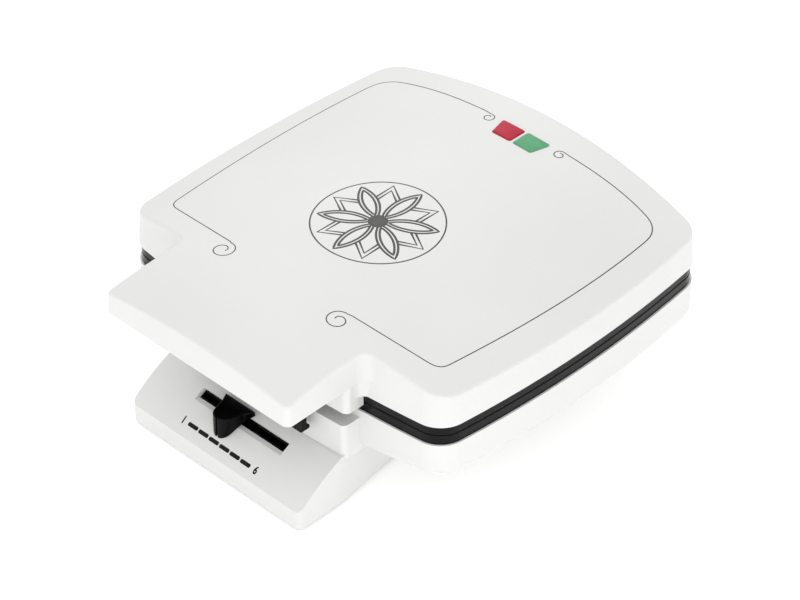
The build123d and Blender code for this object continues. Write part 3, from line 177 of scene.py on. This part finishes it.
def lamp_lens(name, light, dark):
    """Dyed acrylic with a frosted back: saturated colour that glows a little at its edges.

    The dye is cloudy over about 7 mm, and the frosting is about 0.5 mm coarse, so that it shows.
    """
    material, place = new_material(name)
    cloud = add_node(material, "ShaderNodeTexNoise", Vector=place, Scale=140.0, Detail=2.0)
    fine = add_node(material, "ShaderNodeTexNoise", Vector=place, Scale=2200.0, Detail=2.0)
    bump = add_node(
        material, "ShaderNodeBump", Height=fine.outputs["Fac"], Strength=0.2, Distance=0.00002
    )
    shader = add_node(
        material,
        "ShaderNodeBsdfPrincipled",
        Base_Color=ramped(material, cloud.outputs["Fac"], linear(dark), linear(light)),
        Roughness=ranged(material, fine.outputs["Fac"], 0.22, 0.34),
        Normal=bump.outputs["Normal"],
        IOR=1.49,
        Specular_IOR_Level=0.1,
        Subsurface_Weight=0.25,
        Subsurface_Scale=0.002,
    )
    return close_material(material, shader)


red_lens = lamp_lens("red_acrylic", "#BE3044", "#B22A3C")
green_lens = lamp_lens("green_acrylic", "#60A77A", "#5CA075")


def brushed_metal(name, light, dark, rough, stretch):
    """Metal with lines along X, from rolling or turning, drawn 1 mm apart so that they show."""
    material, place = new_material(name)
    stretched = add_node(material, "ShaderNodeMapping", Vector=place, Scale=stretch)
    lines = add_node(
        material, "ShaderNodeTexNoise", Vector=stretched.outputs["Vector"], Scale=900.0, Detail=4.0
    )
    bump = add_node(
        material, "ShaderNodeBump", Height=lines.outputs["Fac"], Strength=0.3, Distance=0.00003
    )
    shader = add_node(
        material,
        "ShaderNodeBsdfPrincipled",
        Base_Color=ramped(material, lines.outputs["Fac"], linear(dark), linear(light)),
        Roughness=ranged(material, lines.outputs["Fac"], rough - 0.06, rough + 0.1),
        Normal=bump.outputs["Normal"],
        Metallic=1.0,
    )
    return close_material(material, shader)


# Rolled aluminium sheet, zinc plated steel, and the oxidised steel of a heater tube
rolled_aluminium = brushed_metal("rolled_aluminium", "#D8D9DB", "#BFC0C3", 0.32, (0.08, 1.0, 1.0))
plated_steel = brushed_metal("zinc_plated_steel", "#C9CACB", "#A9AAAC", 0.28, (0.5, 1.0, 1.0))
heater_steel = brushed_metal("oxidised_heater_steel", "#7D746A", "#565049", 0.42, (0.6, 1.0, 1.0))


def coated_casting(name):
    """Cast aluminium under a dark release coating: bright flecks in a satin black film.

    The flecks are 0.7 mm apart, and the film's own texture is about 1 mm coarse.
    """
    material, place = new_material(name)
    flecks = add_node(material, "ShaderNodeTexVoronoi", Vector=place, Scale=1400.0)
    skin = add_node(material, "ShaderNodeTexNoise", Vector=place, Scale=1100.0, Detail=4.0)
    bump = add_node(
        material, "ShaderNodeBump", Height=skin.outputs["Fac"], Strength=0.4, Distance=0.00005
    )
    shader = add_node(
        material,
        "ShaderNodeBsdfPrincipled",
        Base_Color=ramped(
            material, flecks.outputs["Distance"], linear("#5C5C5E"), linear("#1B1B1D"), 0.02, 0.16
        ),
        Roughness=ranged(material, skin.outputs["Fac"], 0.34, 0.5),
        Normal=bump.outputs["Normal"],
        Metallic=0.25,
    )
    return close_material(material, shader)


release_coating = coated_casting("coated_cast_aluminium")


def glass_bulb(name):
    """Thin soda glass of the neon lamps, with an orange tint from the electrodes."""
    material, place = new_material(name)
    streaks = add_node(material, "ShaderNodeTexNoise", Vector=place, Scale=300.0, Detail=1.0)
    shader = add_node(
        material,
        "ShaderNodeBsdfPrincipled",
        Base_Color=ramped(material, streaks.outputs["Fac"], linear("#F2D9C2"), linear("#FBF3EA")),
        Roughness=ranged(material, streaks.outputs["Fac"], 0.02, 0.08),
        IOR=1.5,
        Transmission_Weight=0.85,
    )
    return close_material(material, shader)


neon_glass = glass_bulb("soda_glass")

finishes = {
    white_abs: ["upper_housing", "lower_housing", "handle_cover"],
    black_abs: ["lower_rim", "upper_rim"],
    matt_black_abs: [
        "latch",
        "slot_guide",
        "regulator_knob",
        "regulator_carriage",
        "bottom_cover",
        "cable_gland",
    ],
    nylon: ["slider_rail", "thermostat_spindle", "cord_clamp", "lamp_holder"],
    rubber: ["rubber_feet"],
    steatite: ["thermostat_body", "terminal_block", "thermal_fuse"],
    silicone: ["base_leads", "lid_leads"],
    red_lens: ["lamp_window_red"],
    green_lens: ["lamp_window_green"],
    rolled_aluminium: ["lower_heat_shield", "upper_heat_shield", "thermostat_bracket"],
    plated_steel: [
        "handle_screws",
        "latch_pin",
        "lower_rim_screws",
        "upper_rim_screws",
        "lower_plate_screws",
        "upper_plate_screws",
        "hinge_pins",
        "cover_screws",
    ],
    heater_steel: ["lower_heating_element", "upper_heating_element"],
    release_coating: ["lower_baking_plate", "upper_baking_plate"],
    neon_glass: ["neon_lamps"],
}
for material, names in finishes.items():
    for name in names:
        nodes[name].data.materials.clear()
        nodes[name].data.materials.append(material)


def drape(piece, height, lift):
    """Lay a flat piece on a surface: each point rises by the surface's height, plus a lift."""
    for point in piece.data.vertices:
        x, y, z = (value * 1000 for value in point.co)
        point.co.z = (z + height(x, y) + lift) / 1000


def fit_out(piece, material, body):
    """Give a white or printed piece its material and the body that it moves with."""
    piece.data.materials.clear()
    piece.data.materials.append(material)
    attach(piece, body)


def raise_faces(height):
    """In edit mode, raise what is selected by a height in millimetres, with walls under it."""
    bpy.ops.mesh.extrude_region_move(TRANSFORM_OT_translate={"value": (0, 0, height / 1000)})


# Print is a film a little over the surface: the lifts keep it clear of the mesh, in millimetres
LINE_LIFT, EYE_LIFT, NUMBER_LIFT = 0.02, 0.03, 0.04
LINE_FLATNESS = 0.08
EYE_FILM, DASH_FILM, NUMBER_FILM = 0.04, 0.06, 0.03


def printed_line(name, strokes, width):
    """Lines of print on the lid: each stroke is a tube, flattened to a film and laid on it."""
    clear_selection()
    bpy.ops.curve.primitive_bezier_curve_add(location=(0, 0, 0))
    piece = bpy.context.object
    piece.name = name
    curve = piece.data
    curve.splines.clear()
    for points, closed in strokes:
        spline = curve.splines.new("POLY")
        spline.points.add(len(points) - 1)
        for point, (x, y) in zip(spline.points, points):
            point.co = (x / 1000, y / 1000, 0, 1)
        spline.use_cyclic_u = closed
    curve.bevel_depth = width / 2000
    curve.bevel_resolution = 1
    curve.use_fill_caps = True
    bpy.ops.object.convert(target="MESH")
    bpy.ops.object.mode_set(mode="EDIT")
    bpy.ops.mesh.select_all(action="SELECT")
    bpy.ops.transform.resize(value=(1, 1, LINE_FLATNESS), center_override=(0, 0, 0))
    bpy.ops.object.mode_set(mode="OBJECT")
    drape(piece, lid_height, LINE_LIFT)
    fit_out(piece, ink, "lid")


def arc_points(centre, radius, start, end, count):
    """Points on a circle from one angle to another, in degrees."""
    step = (end - start) / count
    return [
        (
            centre[0] + radius * math.cos(math.radians(start + step * k)),
            centre[1] + radius * math.sin(math.radians(start + step * k)),
        )
        for k in range(count + 1)
    ]


# The print is a little off the middle of the lid, and the rosette's middle is here
ROSETTE = (-1.1, -8.9)

# Border print: one line a side, from a scroll at the front to a scroll at the rear. Each edge is a
# curve in millimetres, given by the factors of the powers of the length along it in units of 100 mm
SIDE_CURVE, SIDE_MIDDLE = (120.4, 5.0, -5.3, -1.1), -3.55
FRONT_CURVE = (-84.9, 0, 7.87)
REAR_CURVE = (123.45, 0, 1.2, 0, -5.6)
FRONT_CORNER, REAR_CORNER = (115.0, -75.0), (115.2, 117.0)
FRONT_BEND, REAR_BEND = 7, 13
BORDER_WIDTH, RING_WIDTH, PETAL_WIDTH = 0.7, 0.95, 1.4


def curved(factors, along):
    """Height of a curve at a place along it, in millimetres."""
    return sum(factor * (along / 100) ** power for power, factor in enumerate(factors))


def rounded(points, at, reach):
    """Replace the corner at an index by a smooth bend over a reach to both sides."""
    corner = Vector(points[at])
    before = [p for p in points[:at] if (Vector(p) - corner).length > reach]
    after = [p for p in points[at + 1 :] if (Vector(p) - corner).length > reach]
    start = corner + (Vector(before[-1]) - corner).normalized() * reach
    end = corner + (Vector(after[0]) - corner).normalized() * reach
    bend = [
        tuple(start * (1 - t) ** 2 + corner * 2 * t * (1 - t) + end * t**2)
        for t in [k / 12 for k in range(13)]
    ]
    return before + bend + after


def scroll(centre, outer, inner, start, sweep, count):
    """A scroll that winds inwards from its outer radius, slowly at first."""
    points = []
    for k in range(count + 1):
        t = k / count
        radius = outer + (inner - outer) * t**1.4
        angle = math.radians(start + sweep * t)
        points.append((centre[0] + radius * math.cos(angle), centre[1] + radius * math.sin(angle)))
    return points


def border_side(side):
    """The border's points for one side of the lid, front scroll first."""
    front_scroll = scroll((48.8, -91.4), outer=7.8, inner=2.1, start=88, sweep=462, count=56)
    # The rear scrolls aren't quite mirrored: the right one is further out and further back
    rear_place = (29.75 + 1.6 * side, 119.35 + 0.4 * side)
    rear_scroll = scroll(rear_place, outer=4.0, inner=1.5, start=84, sweep=400, count=44)
    front = [(x, curved(FRONT_CURVE, x)) for x in range(52, 115, 4)]
    edge = [(curved(SIDE_CURVE, y - SIDE_MIDDLE), y) for y in range(-71, 114, 5)]
    rear = [(x, curved(REAR_CURVE, x)) for x in range(111, 31, -4)]
    front_corner, rear_corner = (
        (curved(SIDE_CURVE, y - SIDE_MIDDLE), curved(across, x))
        for across, (x, y) in ((FRONT_CURVE, FRONT_CORNER), (REAR_CURVE, REAR_CORNER))
    )
    points = front_scroll[::-1] + front + [front_corner] + edge + [rear_corner] + rear
    points = rounded(points, len(front_scroll) + len(front), FRONT_BEND)
    outermost = max(range(len(points)), key=lambda k: points[k][0] + points[k][1])
    points = rounded(points, outermost, REAR_BEND) + rear_scroll
    return [(side * x + ROSETTE[0], y) for x, y in points]


printed_line("border_print", [(border_side(-1), False), (border_side(1), False)], BORDER_WIDTH)

# Rosette: a ring round six lens petals, with six pointed petals showing between them. Each petal
# is two outlines: a lens has its start, end and bulge, and a point its tip and its edges' length
RING_RADIUS = 41.3
LENS_PETALS = ((3.0, 38.0, 5.8), (6.5, 34.2, 3.5))
BACK_PETALS = ((37.9, 15.6), (32.6, 12.2))
BACK_HALF_ANGLE = math.radians(29)
EYE_RADIUS, EYE_INSET = 6.3, 1.5


def turned(points, degrees):
    """Points turned about the rosette's centre and moved there."""
    c, s = math.cos(math.radians(degrees)), math.sin(math.radians(degrees))
    return [(ROSETTE[0] + x * c - y * s, ROSETTE[1] + x * s + y * c) for x, y in points]


def lens(start, end, bulge):
    """Two arcs that meet in points at both ends, along X."""
    half = (end - start) / 2
    radius = (half**2 + bulge**2) / (2 * bulge)
    spread = math.degrees(math.asin(half / radius))
    middle = (start + end) / 2
    upper = arc_points((middle, bulge - radius), radius, 90 + spread, 90 - spread, 20)
    lower = arc_points((middle, radius - bulge), radius, -90 + spread, -90 - spread, 20)
    return upper + lower[1:-1]


printed_line(
    "rosette_ring_print", [(arc_points(ROSETTE, RING_RADIUS, 0, 357, 119), True)], RING_WIDTH
)
petal_strokes = []
for step in range(6):
    for start, end, bulge in LENS_PETALS:
        petal_strokes.append((turned(lens(start, end, bulge), 30 + 60 * step), True))
    for tip, edge_length in BACK_PETALS:
        dx = edge_length * math.cos(BACK_HALF_ANGLE)
        dy = edge_length * math.sin(BACK_HALF_ANGLE)
        petal_strokes.append(
            (turned([(tip - dx, dy), (tip, 0), (tip - dx, -dy)], 60 * step), False)
        )
printed_line("rosette_print", petal_strokes, PETAL_WIDTH)

clear_selection()
bpy.ops.mesh.primitive_circle_add(
    vertices=48,
    radius=EYE_RADIUS / 1000,
    fill_type="NGON",
    location=(ROSETTE[0] / 1000, ROSETTE[1] / 1000, 0),
)
rosette_eye = bpy.context.object
rosette_eye.name = "rosette_eye_print"
bpy.ops.object.transform_apply(location=True, rotation=True, scale=True)
bpy.ops.object.mode_set(mode="EDIT")
bpy.ops.mesh.select_all(action="SELECT")
bpy.ops.mesh.inset(thickness=EYE_INSET / 1000)
raise_faces(EYE_FILM)
bpy.ops.object.mode_set(mode="OBJECT")
drape(rosette_eye, lid_height, EYE_LIFT)
fit_out(rosette_eye, ink, "lid")


# Lamp windows: moulded caps with softly bevelled edges, proud of the lid. The corners are those
# of the right cap, seen from above, and the foot is inside the lid, in millimetres
CAP_CORNERS = ((1.0, 107.95), (16.4, 107.95), (1.0, 122.95), (20.2, 122.95))
CAP_FOOT, CAP_HEIGHT = -2.5, 3.38
CAP_CORNER, CAP_EDGE = 2.2, 1.1


def lamp_cap(name, node, side, material):
    """One lamp window: a slanted block with round corners whose top edge is bevelled."""
    clear_selection()
    bpy.ops.mesh.primitive_plane_add(size=0.01, location=(0, 0, 0))
    cap = bpy.context.object
    cap.name = name
    for point, (x, y) in zip(cap.data.vertices, CAP_CORNERS):
        point.co = (side * x / 1000, y / 1000, CAP_FOOT / 1000)
    bpy.ops.object.mode_set(mode="EDIT")
    bpy.ops.mesh.select_all(action="SELECT")
    bpy.ops.mesh.bevel(offset=CAP_CORNER / 1000, segments=5, affect="VERTICES")
    raise_faces(CAP_HEIGHT)
    bpy.ops.mesh.bevel(offset=CAP_EDGE / 1000, segments=3, affect="EDGES")
    bpy.ops.mesh.select_all(action="SELECT")
    bpy.ops.mesh.normals_make_consistent(inside=False)
    bpy.ops.object.mode_set(mode="OBJECT")
    drape(cap, lid_height, 0)
    bpy.ops.object.shade_smooth_by_angle(angle=math.radians(35))
    cap.data.materials.append(material)
    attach(cap, "lid")
    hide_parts(node)


lamp_cap("lamp_cap_red", "lamp_window_red", -1, red_lens)
lamp_cap("lamp_cap_green", "lamp_window_green", 1, green_lens)


# Scale on the ramp: a row of six rounded dashes, which leans a little forward to the right, and a
# number at each end, in millimetres
DASH_ROW = (-1.75, -144.05)
DASH_LEAN = 0.018
DASH_LENGTH, DASH_WIDTH, DASH_GAP = 8.33, 2.0, 0.95
DASH_ROUNDING = 0.42
NUMBER_SIZE, NUMBER_BOLDNESS = 5.4, 0.2


def printed_dash(name, centre_x, centre_y):
    """One rounded dash of print that lies on the ramp."""
    clear_selection()
    bpy.ops.mesh.primitive_plane_add(size=0.001, location=(centre_x / 1000, centre_y / 1000, 0))
    piece = bpy.context.object
    piece.name = name
    piece.scale = (DASH_LENGTH, DASH_WIDTH, 1)
    bpy.ops.object.transform_apply(location=True, rotation=True, scale=True)
    bpy.ops.object.mode_set(mode="EDIT")
    bpy.ops.mesh.select_all(action="SELECT")
    bpy.ops.mesh.bevel(offset=DASH_WIDTH * DASH_ROUNDING / 1000, segments=4, affect="VERTICES")
    raise_faces(DASH_FILM)
    bpy.ops.object.mode_set(mode="OBJECT")
    drape(piece, ramp_height, LINE_LIFT)
    fit_out(piece, black_ink, "base")


for count in range(6):
    offset_x = (DASH_LENGTH + DASH_GAP) * (count - 2.5)
    dash_x = DASH_ROW[0] + offset_x
    printed_dash(f"scale_dash_{count + 1}", dash_x, DASH_ROW[1] - DASH_LEAN * dash_x)


def printed_number(name, text, x, y):
    """A plain number of print on the ramp."""
    clear_selection()
    bpy.ops.object.text_add(location=(0, 0, 0))
    piece = bpy.context.object
    piece.name = name
    piece.data.body = text
    piece.data.size = NUMBER_SIZE / 1000
    piece.data.align_x = "CENTER"
    piece.data.align_y = "CENTER"
    piece.data.extrude = NUMBER_FILM / 1000
    piece.data.offset = NUMBER_BOLDNESS / 1000
    bpy.ops.object.convert(target="MESH")
    piece.location = (x / 1000, y / 1000, 0)
    bpy.ops.object.transform_apply(location=True, rotation=True, scale=True)
    drape(piece, ramp_height, NUMBER_LIFT)
    fit_out(piece, black_ink, "base")


printed_number("scale_number_1", "1", -33.4, -143.45)
printed_number("scale_number_6", "6", 30.4, -144.6)


# Rear lip of the slot: there the ramp runs flat up to the slot's edge. A strip on the ramp whose
# walls go down and to the rear, along the bevel that it fills, in millimetres
LIP_MIDDLE, LIP_SIZE = (1.3, -122.435), (74.5, 2.67)
LIP_WALL = (0.66, -1.24)

clear_selection()
bpy.ops.mesh.primitive_grid_add(
    x_subdivisions=24,
    y_subdivisions=6,
    size=0.001,
    location=(LIP_MIDDLE[0] / 1000, LIP_MIDDLE[1] / 1000, 0),
)
slot_lip = bpy.context.object
slot_lip.name = "slot_rear_lip"
slot_lip.scale = (*LIP_SIZE, 1)
bpy.ops.object.transform_apply(location=True, rotation=True, scale=True)
drape(slot_lip, ramp_height, LINE_LIFT)
bpy.ops.object.mode_set(mode="EDIT")
bpy.ops.mesh.select_all(action="SELECT")
bpy.ops.mesh.extrude_region_move(
    TRANSFORM_OT_translate={"value": (0, LIP_WALL[0] / 1000, LIP_WALL[1] / 1000)}
)
bpy.ops.mesh.select_all(action="SELECT")
bpy.ops.mesh.normals_make_consistent(inside=False)
bpy.ops.object.mode_set(mode="OBJECT")
fit_out(slot_lip, white_abs, "base")


# Studio, in metres: a pale floor, bright even surroundings and soft lights. The floor glows a
# little, so that it stays as white as the surroundings under the iron's soft shadow
FLOOR_SIZE, FLOOR_GLOW = 12, 0.21
SURROUNDINGS_STRENGTH = 0.995

clear_selection()
bpy.ops.mesh.primitive_plane_add(size=FLOOR_SIZE, location=(0, 0, 0))
floor = bpy.context.object
floor.name = "studio_floor"
floor_material, floor_place = new_material("pale_studio_floor")
floor_noise = add_node(
    floor_material, "ShaderNodeTexNoise", Vector=floor_place, Scale=3.0, Detail=2.0
)
floor_shader = add_node(
    floor_material,
    "ShaderNodeBsdfPrincipled",
    Base_Color=ramped(
        floor_material, floor_noise.outputs["Fac"], linear("#FCFCFC"), linear("#FFFFFF")
    ),
    Roughness=0.9,
    Emission_Color=linear("#FFFFFF"),
    Emission_Strength=FLOOR_GLOW,
)
close_material(floor_material, floor_shader)
floor.data.materials.append(floor_material)

world = bpy.data.worlds.new("studio_surroundings")
bpy.context.scene.world = world
world.use_nodes = True
surroundings = world.node_tree.nodes["Background"].inputs
surroundings["Color"].default_value = linear("#FFFFFF")
surroundings["Strength"].default_value = SURROUNDINGS_STRENGTH


def soft_light(name, place, aim, size, power):
    """A rectangular lamp that points at a place: width and height in metres, power in watts."""
    clear_selection()
    bpy.ops.object.light_add(type="AREA", location=place)
    lamp = bpy.context.object
    lamp.name = name
    lamp.data.shape = "RECTANGLE"
    lamp.data.size, lamp.data.size_y = size
    lamp.data.energy = power
    lamp.rotation_euler = (Vector(aim) - Vector(place)).to_track_quat("-Z", "Y").to_euler()


soft_light("key_right", (1.2, -0.95, 0.35), (0.1, -0.1, 0.06), (1.2, 0.12), 3.8)
soft_light("fill_front", (0.3, -1.1, 0.5), (0, -0.13, 0.02), (0.5, 0.3), 0.3)
soft_light("rear_left", (-1.4, 1.3, 1.35), (-0.05, 0.05, 0.1), (1.0, 1.0), 5)

# Camera at the photograph's place and angle, in metres, with its sensor and lens in millimetres
AZIMUTH, ELEVATION, DISTANCE = math.radians(44.316), math.radians(38.086), 1.7773
CAMERA_AIM = Vector((0.06218, -0.05475, 0.1143))
SENSOR_WIDTH, FOCAL_LENGTH = 36.0, 137.16
back = Vector(
    (
        math.sin(AZIMUTH) * math.cos(ELEVATION),
        -math.cos(AZIMUTH) * math.cos(ELEVATION),
        math.sin(ELEVATION),
    )
)
clear_selection()
bpy.ops.object.camera_add(location=CAMERA_AIM + back * DISTANCE)
camera = bpy.context.object
camera.rotation_euler = (-back).to_track_quat("-Z", "Y").to_euler()
camera.data.sensor_width = SENSOR_WIDTH
camera.data.lens = FOCAL_LENGTH
bpy.context.scene.camera = camera
bpy.context.scene.view_settings.view_transform = "Standard"
